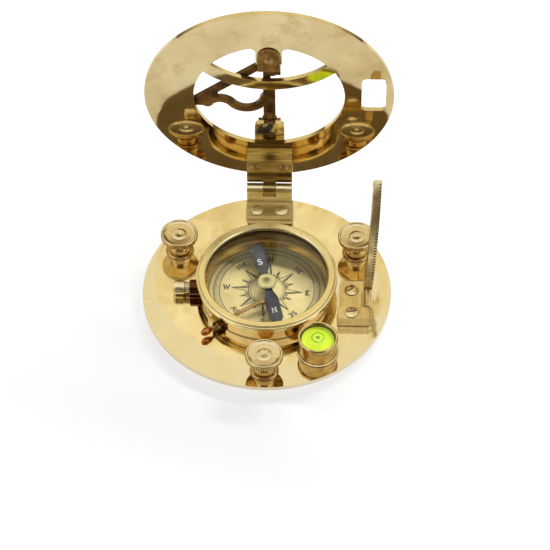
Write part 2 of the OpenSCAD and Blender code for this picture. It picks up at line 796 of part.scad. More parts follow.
module hinge_spacer(w0) {
    color([0.72, 0.58, 0.28]) at_leaf() difference() {
        translate([-hinge_w/2, rib_from, w0]) cube([hinge_w, leaf_to - rib_from - 2*seam, spacer_t]);
        at_rivets() translate([0, 0, -cut/2]) cylinder(d = rivet_d, h = 2*cut);
    }
}

module hinge_spacer_front() {
    hinge_spacer(leaf_low + leaf_t);
}

module hinge_spacer_rear() {
    hinge_spacer(leaf_low + leaf_t + spacer_t);
}

module hinge_rivets() {
    color([0.58, 0.42, 0.26]) at_leaf() at_rivets() union() {
        translate([0, 0, leaf_low]) cylinder(d = rivet_d, h = ring_offset + ring_t - leaf_low);
        translate([0, 0, leaf_low]) rotate([180, 0, 0]) dome(rivet_head_d, rivet_head_h);
        translate([0, 0, ring_offset + ring_t]) dome(rivet_head_d, rivet_head_h);
    }
}

// Hour ring

module ring_slot() {
    w = slot_w/2 - slot_corner;
    l = slot_l/2 - slot_corner;
    translate([slot_u, slot_v]) union() {
        square([slot_w, slot_l - 2*slot_corner], center = true);
        square([slot_w - 2*slot_corner, slot_l], center = true);
        for (x = [-w, w], y = [-l, l]) translate([x, y]) circle(r = slot_corner);
    }
}

module ring_bridge() {
    intersection() {
        translate([0, bridge_low + bridge_r]) difference() {
            circle(r = bridge_r);
            circle(r = bridge_r - bridge_w);
        }
        circle(r = bore_edge + 0.5);
    }
}

module ring_tongues() {
    w = low_tongue_w/2;
    fillet_v = sqrt(pow(bore_edge - fillet_r, 2) - pow(tongue_w/2 + fillet_r, 2));
    translate([-tongue_w/2, top_tongue_v]) square([tongue_w, bore_edge - top_tongue_v + 0.5]);
    for (m = [0, 1]) mirror([m, 0]) difference() {
        translate([tongue_w/2 - eps, fillet_v]) square([fillet_r + eps, bore_edge - fillet_v]);
        translate([tongue_w/2 + fillet_r, fillet_v]) circle(r = fillet_r, $fn = 48);
    }
    translate([-w, -bore_edge - 0.5]) square([2*w, bore_edge + 0.5 + low_tongue_v - 2]);
    translate([-w + 2, low_tongue_v - 2.5]) square([2*w - 4, 2.5]);
    for (x = [-1, 1]) translate([x*(w - 2), low_tongue_v - 2]) circle(r = 2);
}

module hour_ring() {
    color([0.88, 0.76, 0.46]) at_ring() difference() {
        linear_extrude(height = ring_t) difference() {
            union() {
                difference() {
                    circle(r = ring_r);
                    circle(r = bore_edge);
                }
                ring_bridge();
                ring_tongues();
            }
            ring_slot();
        }
        for (x = [-rivet_x, rivet_x]) translate([x, rivet_at - ring_c, -eps])
            cylinder(d = rivet_d, h = cut);
        translate([0, bracket_rivet_v, -eps]) cylinder(d = rivet_d, h = cut);
        translate([0, bracket_screw_v, -eps]) cylinder(d = slot_screw_shank_d, h = cut);
    }
}

// An ear of width w with a round end about the gnomon's pin, from v on, rooted at height w0
module gnomon_ear(v, w0, w) {
    intersection() {
        translate([0, v, axis_w]) rotate([-90, 0, 0]) cylinder(d = w, h = ear_t);
        translate([-w/2, v, w0]) cube([w, ear_t, cut]);
    }
    translate([-w/2, v, w0]) cube([w, ear_t, axis_w - w0]);
}

// Upper bracket: on the ring's underside, with an ear that passes the tongue's end
module gnomon_bracket_top() {
    plate_v = top_tongue_v + bracket_top_l;
    r = bracket_top_r;
    color([0.64, 0.46, 0.26]) at_ring() difference() {
        union() {
            translate([0, 0, -bracket_t]) linear_extrude(height = bracket_t) union() {
                translate([-r, gnomon_hi + seam]) square([2*r, plate_v - gnomon_hi - r]);
                translate([0, plate_v - r]) circle(r = r);
            }
            gnomon_ear(gnomon_hi + seam, -bracket_t, ear_w);
        }
        translate([0, bracket_rivet_v, -cut/2]) cylinder(d = rivet_d, h = cut);
        translate([0, gnomon_hi, axis_w]) rotate([-90, 0, 0])
            cylinder(d = gnomon_pin_d + 2*press, h = cut, center = true);
    }
}

// Lower bracket: on the ring's upper face, with an ear at the end of its tongue
module gnomon_bracket_low() {
    w = bracket_low_w;
    back = bracket_screw_v - bracket_low_back;
    color([0.62, 0.48, 0.28]) at_ring() difference() {
        union() {
            translate([-w/2, back, ring_t]) cube([w, gnomon_lo - seam - back, bracket_t]);
            gnomon_ear(gnomon_lo - seam - ear_t, ring_t, low_ear_w);
        }
        translate([0, bracket_screw_v, 0]) cylinder(d = slot_screw_shank_d, h = cut);
        translate([0, gnomon_lo, axis_w]) rotate([-90, 0, 0])
            cylinder(d = gnomon_pin_d + 2*press, h = 2*ear_t + 1, center = true);
    }
}

module bracket_rivet() {
    color([0.58, 0.42, 0.26]) at_ring() translate([0, bracket_rivet_v, 0]) union() {
        translate([0, 0, -bracket_t]) cylinder(d = rivet_d, h = bracket_t + ring_t);
        translate([0, 0, -bracket_t]) rotate([180, 0, 0]) dome(rivet_head_d, rivet_head_h);
        translate([0, 0, ring_t]) dome(rivet_head_d, rivet_head_h);
    }
}

module bracket_screw() {
    color([0.60, 0.50, 0.32]) at_ring() translate([0, bracket_screw_v, 0]) rotate([180, 0, 0])
        slotted_screw(bracket_screw_d, slot_screw_h, slot_screw_shank_d, ring_t + bracket_t, 0);
}

module gnomon_pins() {
    color([0.62, 0.58, 0.50]) at_ring() union() {
        translate([0, gnomon_hi - pin_in, axis_w]) rotate([-90, 0, 0])
            cylinder(d = gnomon_pin_d, h = pin_in + seam + ear_t);
        translate([0, gnomon_lo - seam - ear_t, axis_w]) rotate([-90, 0, 0])
            cylinder(d = gnomon_pin_d, h = pin_in + seam + ear_t);
    }
}

// Gnomon

// Wedge from angle a to angle b, used to cut arcs to length
module wedge(r, a, b) {
    polygon(concat([[0, 0]], [for (i = [0:4]) 2*r*[cos(a + (b - a)*i/4), sin(a + (b - a)*i/4)]]));
}

// Band of width w along an arc of radius r from angle a to angle b
module arc_band(r, w, a, b) {
    intersection() {
        difference() {
            circle(r = r + w/2);
            circle(r = r - w/2);
        }
        wedge(r + w, a, b);
    }
}

// Outline of the gnomon in its plane: style bar, spine and a brace of two arcs
module gnomon_outline() {
    join = atan2(brace_low[1] - brace_high[1], brace_low[0] - brace_high[0]);
    low_r = norm(brace_low - brace_high) - brace_high_r;
    // style bar, below the line from the apex
    translate([0, apex_v]) rotate([0, 0, 270 - latitude]) union() {
        translate([style_near, 0]) square([style_far - style_near, style_w]);
        translate([style_far, style_w/2]) circle(d = style_w);
    }
    // web and nub between the tip of the bar and the brace
    translate(nub) circle(r = nub_r);
    polygon([for (q = web) nub + q]);
    translate(brace_high) arc_band(brace_high_r, brace_w, join - 3, 140);
    translate(brace_low) arc_band(low_r, brace_w, join + 178, 360);
    polygon([brace_low + [low_r - brace_w/2, -1.4], brace_low + [low_r - brace_w/2 + eps, 0],
        [0.1 - spine_w/2, brace_low[1] + 2.4], [0.1 - spine_w/2, brace_low[1] - 1.4]]);
    // spine, with a stop lug on its far side and a relief where it passes the bridge
    difference() {
        translate([-spine_w/2, gnomon_lo]) square([spine_w, gnomon_hi - gnomon_lo]);
        translate([relief_u, relief_v[0]]) square([spine_w, relief_v[1] - relief_v[0]]);
    }
    translate([0, stop_v[0]]) square([stop_u, stop_v[1] - stop_v[0]]);
}

module gnomon() {
    color([0.70, 0.58, 0.36]) at_gnomon() difference() {
        union() {
            translate([0, 0, -gnomon_t/2]) linear_extrude(height = gnomon_t) gnomon_outline();
            for (v = [gnomon_lo, gnomon_hi - barrel_l])
                translate([0, v, 0]) rotate([-90, 0, 0]) cylinder(r = barrel_r, h = barrel_l);
        }
        translate([0, gnomon_lo - eps, 0]) rotate([-90, 0, 0])
            cylinder(d = gnomon_pin_d + 2*fit, h = pin_in + 2*seam);
        translate([0, gnomon_hi + eps, 0]) rotate([90, 0, 0])
            cylinder(d = gnomon_pin_d + 2*fit, h = pin_in + 2*seam);
    }
}

// Latitude arc and its bracket

module at_arc_screws() {
    for (y = arc_screw_y) translate([arc_screw_x, y, 0]) children();
}

module arc_bracket() {
    color([0.80, 0.68, 0.38]) difference() {
        union() {
            translate([arc_foot_x, bracket_front + 4, top])
                cube([arc_foot_w, bracket_back - bracket_front - 4, arc_foot_t]);
            translate([pack_x, bracket_front, top]) cube([pack_w, pack_back - bracket_front, arc_foot_t]);
            translate([arc_foot_x + arc_foot_w - 1, arc_knuckle_from, top])
                cube([arc_x - arc_foot_x - arc_foot_w + 1, arc_knuckle_to - arc_knuckle_from, arc_pin_z]);
            translate([arc_x, arc_knuckle_from, top + arc_pin_z]) rotate([-90, 0, 0])
                cylinder(r = arc_knuckle_r, h = arc_knuckle_to - arc_knuckle_from);
        }
        translate([arc_x, arc_knuckle_from - eps, top + arc_pin_z]) rotate([-90, 0, 0])
            cylinder(d = arc_pin_d + 2*press, h = cut);
        at_arc_screws() translate([0, 0, top - eps]) cylinder(d = slot_screw_shank_d, h = cut);
    }
}

module arc_packing() {
    color([0.78, 0.66, 0.36]) difference() {
        translate([pack_x, bracket_front, top + arc_foot_t])
            cube([pack_w, pack_back - bracket_front, arc_pack_t]);
        at_arc_screws() translate([0, 0, top]) cylinder(d = slot_screw_shank_d, h = cut);
    }
}

module arc_screws() {
    color([0.82, 0.72, 0.44]) {
        translate([arc_screw_x, arc_screw_y[0], top + arc_foot_t])
            slotted_screw(slot_screw_d, slot_screw_h, slot_screw_shank_d, arc_foot_t + plate_t,
                arc_screw_turn[0]);
        translate([arc_screw_x, arc_screw_y[1], top + arc_foot_t + arc_pack_t])
            slotted_screw(slot_screw_d, slot_screw_h, slot_screw_shank_d, arc_foot_t + arc_pack_t + plate_t,
                arc_screw_turn[1]);
    }
}

module arc_pin() {
    color([0.66, 0.56, 0.32]) translate([arc_x, 0, top + arc_pin_z]) union() {
        translate([0, arc_knuckle_from, 0]) rotate([-90, 0, 0])
            cylinder(d = arc_pin_d, h = arc_tang_to + seam - arc_knuckle_from);
        translate([0, arc_tang_to + seam, 0]) rotate([-90, 0, 0])
            cylinder(r = arc_knuckle_r - 0.3, h = 0.7);
    }
}

// The arc is drawn about the main hinge pin, in the plane of its own pin
module arc_outline() {
    cy = hinge_y;
    cz = hinge_z - arc_pin_z;
    intersection() {
        translate([cy, cz]) difference() {
            circle(r = arc_r, $fn = 180);
            circle(r = arc_r - arc_w, $fn = 180);
        }
        translate([cy, cz]) rotate([0, 0, 180 - arc_top]) square([2*arc_r, 2*arc_r]);
        translate([cy, cz]) rotate([0, 0, 90 - arc_from]) square([2*arc_r, 2*arc_r]);
    }
}

module latitude_arc() {
    cy = hinge_y;
    cz = hinge_z - arc_pin_z;
    tang_from = arc_knuckle_to + seam;
    color([0.80, 0.70, 0.44]) at_arc() difference() {
        union() {
            translate([arc_t/2, 0, 0]) rotate([90, 0, -90]) mirror([1, 0, 0])
                linear_extrude(height = arc_t) arc_outline();
            translate([0, tang_from, 0]) rotate([-90, 0, 0])
                cylinder(r = arc_knuckle_r, h = arc_tang_to - tang_from);
        }
        translate([0, -cut/2, 0]) rotate([-90, 0, 0]) cylinder(d = arc_pin_d + 2*fit, h = cut);
        for (a = [notch_first:notch_step:arc_top - notch_step])
            translate([0, cy - arc_r*cos(a), cz + arc_r*sin(a)]) rotate([-a, 0, 0])
                translate([arc_t/2 - notch_w, -notch_d, -notch_d/2])
                cube([notch_w + eps, 2*notch_d, notch_d]);
    }
}

base_plate();
bush(0);  // bush_front
bush(1);  // bush_right
bush(2);  // bush_left
level_screw(0);  // level_screw_front
level_screw(1);  // level_screw_right
level_screw(2);  // level_screw_left
compass_housing();
housing_screws();
dial_card();
card_retainer();
needle_post();
needle();
needle_cap();
cover_glass();
bezel_ring();
lifter_lever();
lifter_button();
lifter_guide();
lifter_pin();
lifter_spring();
clamp_boss();
clamp_knob();
level_cup();
level_liquid();
level_bubble();
level_glass();
hinge_foot();
hinge_foot_screws();
hinge_pin();
hinge_leaf();
hinge_spacer_front();
hinge_spacer_rear();
hinge_rivets();
hour_ring();
gnomon_bracket_top();
gnomon_bracket_low();
bracket_rivet();
bracket_screw();
gnomon_pins();
gnomon();
arc_bracket();
arc_packing();
arc_screws();
arc_pin();
latitude_arc();
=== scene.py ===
"""Looks of the folding sundial compass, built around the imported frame.

Everything is in metres in the frame of the CAD rows: the origin is the centre of the
base plate's underside, +Z is up and +Y points to the hinge of the hour ring.
Sizes below are written in millimetres and turned into metres by MM.
"""
import math

import bpy
import bmesh
from mathutils import Matrix, Vector


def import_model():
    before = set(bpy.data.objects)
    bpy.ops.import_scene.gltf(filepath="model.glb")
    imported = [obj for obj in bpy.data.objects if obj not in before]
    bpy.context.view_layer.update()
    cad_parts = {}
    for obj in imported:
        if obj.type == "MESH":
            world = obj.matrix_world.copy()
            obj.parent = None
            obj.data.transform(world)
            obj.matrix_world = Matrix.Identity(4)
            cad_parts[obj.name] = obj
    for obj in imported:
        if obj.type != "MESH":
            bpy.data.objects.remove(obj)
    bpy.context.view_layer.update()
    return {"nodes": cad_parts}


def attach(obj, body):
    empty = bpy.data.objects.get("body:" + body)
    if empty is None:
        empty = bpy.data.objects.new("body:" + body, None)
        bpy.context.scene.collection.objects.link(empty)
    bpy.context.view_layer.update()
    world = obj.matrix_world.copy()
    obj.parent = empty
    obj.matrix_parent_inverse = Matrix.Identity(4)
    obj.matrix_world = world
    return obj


MM = 0.001

# Sizes repeated from the part's source, in millimetres
CARD_TOP = 1.9          # upper face of the dial card
HINGE = Vector((0, 47.4, 10.8))
RING_OPEN = 85          # opening angle of the hour ring at rest, degrees
RING_OFFSET = 9.8       # hinge pin to the ring's underside
RING_T = 1.8
NEEDLE_TOP = 7.0
NEEDLE_TURN = 13        # degrees, from +Y
LEVEL_CENTRE = Vector((20.92, -31.6, 0))
LEVEL_GLASS_TOP = 10.7
ARC_PIN = Vector((40.7, 0, 5.4))
ARC_LEAN = 4
ARC_R = 50
ARC_T = 3.2
APEX_V = 21.2           # where the gnomon's style meets the noon line
LATITUDE = 50

PRINT_T = 0.02          # thickness of printed and filled marks
PRINT_LIFT = 0.008      # gap under them
MITRE_LEAST = 0.4       # a sharp bend of a line grows no wider than its width divided by this

# Camera, fitted to the photograph
CAM_TARGET = Vector((3.33, 0, 11.25))
CAM_DISTANCE = 1121.1
CAM_AZIMUTH = 1.6
CAM_ELEVATION = 49.3
CAM_ROLL = -0.41
CAM_LENS = 183.2
CAM_SENSOR = 36
CAM_CLIP = (0.05, 20)   # metres

FLOOR_Z = -2.7
BUMP_METRE = 1000       # bump distance, in mm, at which a height counts in metres


def rgb(r, g, b):
    """Linear colour of an sRGB colour written as 0 to 255."""
    def lin(c):
        c /= 255
        return c / 12.92 if c <= 0.04045 else ((c + 0.055) / 1.055) ** 2.4
    return (lin(r), lin(g), lin(b), 1)


# Shader helpers

OPEN_AO = 0.95          # ambient occlusion value of an open face
CLOSED_AO = 0.35        # and of a full corner


class Shader:
    """A node material, with short names for the nodes that the looks are made of."""

    def __init__(self, name):
        self.mat = bpy.data.materials.new(name)
        self.mat.use_nodes = True
        self.tree = self.mat.node_tree
        self.tree.nodes.clear()
        self.out = self.add("ShaderNodeOutputMaterial")
        self.bsdf = self.add("ShaderNodeBsdfPrincipled")
        self.link(self.bsdf.outputs[0], self.out.inputs["Surface"])
        self.coord = self.add("ShaderNodeTexCoord")

    def add(self, kind, **settings):
        node = self.tree.nodes.new(kind)
        for key, value in settings.items():
            setattr(node, key, value)
        return node

    def link(self, source, target):
        self.tree.links.new(source, target)

    def put(self, value, socket):
        """A number or colour is set on the socket, and a node's output is linked to it."""
        if isinstance(value, bpy.types.NodeSocket):
            self.link(value, socket)
        else:
            socket.default_value = value

    def set(self, **values):
        for key, value in values.items():
            self.put(value, self.bsdf.inputs[key.replace("_", " ")])

    def math(self, op, a, b=0.0):
        node = self.add("ShaderNodeMath", operation=op)
        self.put(a, node.inputs[0])
        self.put(b, node.inputs[1])
        return node.outputs[0]

    def dot(self, vector, constant):
        node = self.add("ShaderNodeVectorMath", operation="DOT_PRODUCT")
        self.put(vector, node.inputs[0])
        node.inputs[1].default_value = constant
        return node.outputs["Value"]

    def scaled(self, scale):
        """Object coordinates with each axis scaled by itself."""
        node = self.add("ShaderNodeMapping")
        self.link(self.coord.outputs["Object"], node.inputs["Vector"])
        node.inputs["Scale"].default_value = scale
        return node.outputs[0]

    def noise(self, size_mm, detail, vector=None, rough=0.5):
        node = self.add("ShaderNodeTexNoise")
        self.link(vector or self.coord.outputs["Object"], node.inputs["Vector"])
        node.inputs["Scale"].default_value = 1 / (size_mm * MM)
        node.inputs["Detail"].default_value = detail
        node.inputs["Roughness"].default_value = rough
        return node.outputs["Fac"]

    def span(self, value, low, high, to_low=0.0, to_high=1.0):
        node = self.add("ShaderNodeMapRange")
        self.link(value, node.inputs["Value"])
        limits = {"From Min": low, "From Max": high, "To Min": to_low, "To Max": to_high}
        for socket, number in limits.items():
            node.inputs[socket].default_value = number
        return node.outputs["Result"]

    def mix(self, factor, a, b, blend="MIX"):
        node = self.add("ShaderNodeMix", data_type="RGBA", blend_type=blend)
        self.put(factor, node.inputs[0])
        self.put(a, node.inputs[6])
        self.put(b, node.inputs[7])
        return node.outputs[2]

    def crevices(self, distance_mm):
        """Ambient occlusion as a mask: 1 in corners and gaps, where shade falls, 0 on open faces."""
        node = self.add("ShaderNodeAmbientOcclusion", samples=6)
        node.inputs["Distance"].default_value = distance_mm * MM
        return self.span(node.outputs["AO"], OPEN_AO, CLOSED_AO)

    def bevel(self, radius_mm):
        node = self.add("ShaderNodeBevel", samples=4)
        node.inputs["Radius"].default_value = radius_mm * MM
        return node.outputs[0]

    def bump(self, height, distance_mm, normal=None, strength=1.0):
        node = self.add("ShaderNodeBump")
        node.inputs["Strength"].default_value = strength
        node.inputs["Distance"].default_value = distance_mm * MM
        self.link(height, node.inputs["Height"])
        if normal is not None:
            self.link(normal, node.inputs["Normal"])
        return node.outputs[0]


# Polish and tarnish of every brass
DRIFT_SPAN = (0.36, 0.66)       # noise values over which the tone drifts
SPOT_SPAN = (0.5, 0.74)         # and over which spots come up
UP_SPAN = (0.6, 0.95)           # upward part of the normal over which a face counts as looking up and takes the painted highlight
GRIME_AND_SHADE_SHARE = 0.75              # how far corners take on the dark colour given for tarnish and painted shade
GRIME_ROUGH = 0.2               # roughness that it adds there
SWELL_MM = 9                    # size of the swells of the polish
SCRATCH_MM = 0.35               # and of the scratches


def brass(name, pale, deep, grime_and_shade, rough, wave=0.03, wear=0.012, stain=0.35, grime_and_shade_mm=1.2,
          edge_mm=0.15, grain=None, drift_mm=14.0, spot=0.4, spot_mm=1.3, lit_top=None, tilt=None):
    """Brass with a slightly uneven polish: drifting tone, faint scratches, and corners darkened by
    ambient occlusion, partly tarnish and partly painted shade.

    grain stretches the scratches and the drift, the tone for tops is a painted highlight on faces that
    look up, and tilt gives a height whose slope is added to the shading.
    """
    s = Shader(name)
    stretched = s.scaled(grain) if grain else None
    drift = s.span(s.noise(drift_mm, 4, vector=stretched), *DRIFT_SPAN)
    fine = s.noise(spot_mm, 6, vector=stretched, rough=0.65)
    tone = s.mix(s.math("MULTIPLY", drift, stain), pale, deep)
    # Painted highlight: faces that look up take a paler tone, as if lit from above.
    if lit_top is not None:
        upward = s.dot(s.coord.outputs["Normal"], (0, 0, 1))
        tone = s.mix(s.span(upward, *UP_SPAN), tone, lit_top)
    tone = s.mix(s.span(fine, *SPOT_SPAN, 0, spot), tone, deep)
    # Corners that ambient occlusion finds are darkened: partly tarnish, partly painted shade.
    corner = s.crevices(grime_and_shade_mm)
    tone = s.mix(s.math("MULTIPLY", corner, GRIME_AND_SHADE_SHARE), tone, grime_and_shade)
    rougher = s.math("ADD", s.span(fine, 0.3, 0.8, rough * 0.8, rough * 1.5),
                     s.math("MULTIPLY", corner, GRIME_ROUGH))
    scratch = s.noise(SCRATCH_MM, 2, vector=stretched)
    normal = s.bump(s.noise(SWELL_MM, 1), wave, s.bevel(edge_mm))
    normal = s.bump(scratch, wear, normal, 0.6)
    if tilt is not None:
        normal = s.bump(tilt(s), BUMP_METRE, normal)
    s.set(Metallic=1.0, Base_Color=tone, Roughness=rougher, Normal=normal)
    return s.mat


def plate_brass():
    return brass("plate_brass", rgb(248, 235, 204), rgb(241, 222, 172), rgb(120, 86, 36), 0.045,
                 wave=0.03, wear=0.002, stain=0.5, grime_and_shade_mm=0.8)


def drum_brass():
    return brass("drum_brass", rgb(234, 210, 150), rgb(200, 160, 86), rgb(70, 46, 16), 0.09,
                 wave=0.02, wear=0.005, stain=0.6)


# The ring's underside is flat. It is shaded as if it leaned by this slope, because with it the ring
# mirrors the plate, the knobs and the level where the photograph shows them.
RING_TILT = 0.167


def ring_tilt(s):
    """Height that rises against the ring's up direction, on the underside alone."""
    down = s.dot(s.coord.outputs["Normal"], -RING_W)
    under = s.math("GREATER_THAN", down, 0.9)
    slope = s.dot(s.coord.outputs["Object"], -RING_V * RING_TILT)
    return s.math("MULTIPLY", slope, under)


def ring_brass():
    """Mirror brass of the hour ring, cloudy with tarnish."""
    return brass("ring_brass", rgb(237, 217, 166), rgb(193, 165, 105), rgb(80, 58, 26), 0.04,
                 wave=0.04, wear=0.003, stain=0.55, grime_and_shade_mm=0.8, drift_mm=22, spot=0.75,
                 spot_mm=9, tilt=ring_tilt)


def knob_brass():
    # Faces of the knobs that look up carry a painted highlight, a paler tone.
    return brass("knob_brass", rgb(216, 184, 116), rgb(172, 136, 68), rgb(60, 40, 16), 0.17,
                 wave=0.01, wear=0.012, stain=0.5, grime_and_shade_mm=0.8, edge_mm=0.2, drift_mm=5,
                 spot=0.3, lit_top=rgb(238, 220, 180))


def cup_brass():
    """The level's cup: a darker wall, with a painted highlight on the rim and the other faces that look
    up.
    """
    return brass("cup_brass", rgb(204, 170, 100), rgb(136, 106, 54), rgb(50, 36, 14), 0.14,
                 wave=0.02, stain=0.7, grime_and_shade_mm=0.8, edge_mm=0.2, drift_mm=4, spot=0.3,
                 lit_top=rgb(236, 216, 162))


def clamp_brass():
    return brass("clamp_brass", rgb(244, 226, 176), rgb(216, 190, 132), rgb(66, 44, 18), 0.32,
                 wave=0.01, wear=0.01, stain=0.5, grime_and_shade_mm=0.6, edge_mm=0.2, drift_mm=4,
                 spot=0.3)


def cap_brass():
    return brass("cap_brass", rgb(222, 214, 166), rgb(204, 192, 138), rgb(60, 48, 24), 0.34,
                 wave=0.002, wear=0.001, stain=0.3, grime_and_shade_mm=0.7, edge_mm=0.1, spot=0.1)


def bush_brass():
    return brass("bush_brass", rgb(212, 180, 116), rgb(162, 122, 60), rgb(60, 38, 14), 0.14,
                 wave=0.01, stain=0.6, grime_and_shade_mm=0.8)


def bezel_brass():
    return brass("bezel_brass", rgb(251, 234, 180), rgb(240, 216, 152), rgb(84, 58, 24), 0.22,
                 wave=0.008, wear=0.005, stain=0.4, grime_and_shade_mm=0.6, edge_mm=0.25, drift_mm=8)


def foot_brass():
    """The hinge's foot: milled bar like the rest of the hinge, painted paler to stand for the light on
    its top.
    """
    return brass("foot_brass", rgb(251, 236, 186), rgb(222, 194, 130), rgb(66, 50, 22), 0.36,
                 wave=0.01, wear=0.012, stain=0.7, grime_and_shade_mm=0.6, edge_mm=0.2, grain=(0.08, 1, 1),
                 drift_mm=1.2)


def hinge_brass():
    """Milled bar with tool marks that run from side to side, and a dull skin."""
    return brass("hinge_brass", rgb(198, 172, 106), rgb(128, 98, 42), rgb(48, 36, 14), 0.3,
                 wave=0.012, wear=0.02, stain=0.9, grime_and_shade_mm=0.8, edge_mm=0.2, grain=(0.06, 1, 1),
                 drift_mm=0.8, spot=0.7)


def bracket_brass():
    return brass("bracket_brass", rgb(244, 222, 168), rgb(200, 168, 104), rgb(64, 44, 18), 0.2,
                 wave=0.015, wear=0.012, stain=0.6, grime_and_shade_mm=0.9, edge_mm=0.2,
                 grain=(1, 0.15, 1), drift_mm=3)


def old_brass():
    """Unpolished brass of the gnomon, with a brown skin."""
    return brass("old_brass", rgb(138, 104, 60), rgb(70, 50, 28), rgb(34, 22, 10), 0.3,
                 wave=0.02, wear=0.02, stain=1.0, grime_and_shade_mm=1.2, edge_mm=0.2, drift_mm=6)


def dull_brass():
    return brass("dull_brass", rgb(192, 156, 102), rgb(128, 94, 54), rgb(44, 28, 12), 0.28,
                 wave=0.02, wear=0.02, stain=0.8, grime_and_shade_mm=1.0, edge_mm=0.2, drift_mm=5)


def copper_brass():
    return brass("copper_brass", rgb(206, 134, 70), rgb(150, 84, 38), rgb(66, 34, 16), 0.22,
                 wave=0.02, wear=0.01, stain=0.7, grime_and_shade_mm=0.9, edge_mm=0.2, drift_mm=5)


def maroon_brass():
    """The clamp's boss has kept a dark red skin."""
    return brass("maroon_brass", rgb(110, 62, 32), rgb(66, 34, 18), rgb(30, 16, 8), 0.2,
                 wave=0.01, wear=0.01, stain=0.8, grime_and_shade_mm=0.8, drift_mm=4)


def arc_brass():
    return brass("arc_brass", rgb(250, 230, 172), rgb(176, 148, 94), rgb(54, 42, 22), 0.3,
                 wave=0.02, wear=0.012, stain=0.8, grime_and_shade_mm=0.8, edge_mm=0.15, drift_mm=5)


def steel():
    return brass("steel", rgb(170, 166, 156), rgb(120, 112, 98), rgb(50, 44, 36), 0.3, stain=0.5)


def card_paint():
    """Lacquered brass card: satin, a little mottled."""
    s = Shader("card_face")
    mottled = s.span(s.noise(3.5, 5, rough=0.6), 0.35, 0.7)
    tone = s.mix(mottled, rgb(232, 214, 158), rgb(220, 200, 138))
    s.set(Base_Color=tone, Roughness=s.span(mottled, 0, 1, 0.42, 0.55), Specular_IOR_Level=0.3,
          Normal=s.bump(s.noise(0.4, 3), 0.01))
    return s.mat


def blued_steel():
    s = Shader("blued_steel")
    cloud = s.span(s.noise(4, 4), 0.35, 0.7)
    tone = s.mix(cloud, rgb(30, 32, 46), rgb(52, 54, 70))
    s.set(Metallic=0.4, Base_Color=tone, Roughness=s.span(cloud, 0, 1, 0.38, 0.5),
          Normal=s.bump(s.noise(0.5, 3), 0.01, s.bevel(0.1)))
    return s.mat


INK_WORN = 1.3                      # worn ink is this much paler
INK_DUST = (0.01, 0.009, 0.006)     # and has this added


def ink(name, colour, rough=0.6):
    """Filling of printed and engraved marks, worn in places."""
    s = Shader(name)
    worn = s.span(s.noise(0.8, 4), 0.35, 0.75)
    paler = (*(part * INK_WORN + dust for part, dust in zip(colour, INK_DUST)), 1)
    s.set(Base_Color=s.mix(worn, colour, paler), Roughness=rough)
    return s.mat


GLASS_CLEAR = 0.5       # share of a glass that is simply seen through
GLASS_TINT = (0.96, 0.965, 0.955, 1)


def clear_glass():
    """Clear plate of glass: a flat sheet hardly bends light, so the gloss is in its coat."""
    s = Shader("clear_glass")
    s.set(Base_Color=rgb(250, 252, 250), Roughness=0.02, Transmission_Weight=1.0, IOR=1.02,
          Coat_Weight=1.0, Coat_IOR=1.5, Coat_Roughness=0.02)
    path = s.add("ShaderNodeLightPath")
    through = s.add("ShaderNodeBsdfTransparent")
    through.inputs["Color"].default_value = GLASS_TINT
    pick = s.add("ShaderNodeMixShader")
    s.link(s.math("MAXIMUM", path.outputs["Is Shadow Ray"], GLASS_CLEAR), pick.inputs[0])
    s.link(s.bsdf.outputs[0], pick.inputs[1])
    s.link(through.outputs[0], pick.inputs[2])
    s.link(pick.outputs[0], s.out.inputs["Surface"])
    return s.mat


def level_fluid():
    """Dyed spirit of the level; a little emission is a painted glow that brightens it."""
    s = Shader("level_fluid")
    depth = s.span(s.noise(5, 2), 0.3, 0.7)
    tone = s.mix(depth, rgb(204, 222, 62), rgb(186, 206, 48))
    s.set(Base_Color=tone, Roughness=0.25, Subsurface_Weight=0.3, Subsurface_Radius=(0.5, 1.0, 0.1),
          Subsurface_Scale=0.003, Emission_Color=tone, Emission_Strength=0.4)
    return s.mat


def bubble_skin():
    # A little emission gives the bubble a painted glow.
    s = Shader("bubble_skin")
    s.set(Base_Color=s.mix(s.span(s.noise(2, 2), 0.3, 0.7), rgb(206, 240, 96), rgb(226, 250, 140)),
          Roughness=0.08, Emission_Color=rgb(210, 245, 90), Emission_Strength=0.15)
    return s.mat


def paint(mat, *nodes):
    """Gives CAD nodes one material."""
    for name in nodes:
        data = frame["nodes"][name].data
        data.materials.clear()
        data.materials.append(mat)


# Flat marks: printed, filled or engraved lines, cut from thin sheet

WORD_GAP = 0.22         # between glyphs, in heights


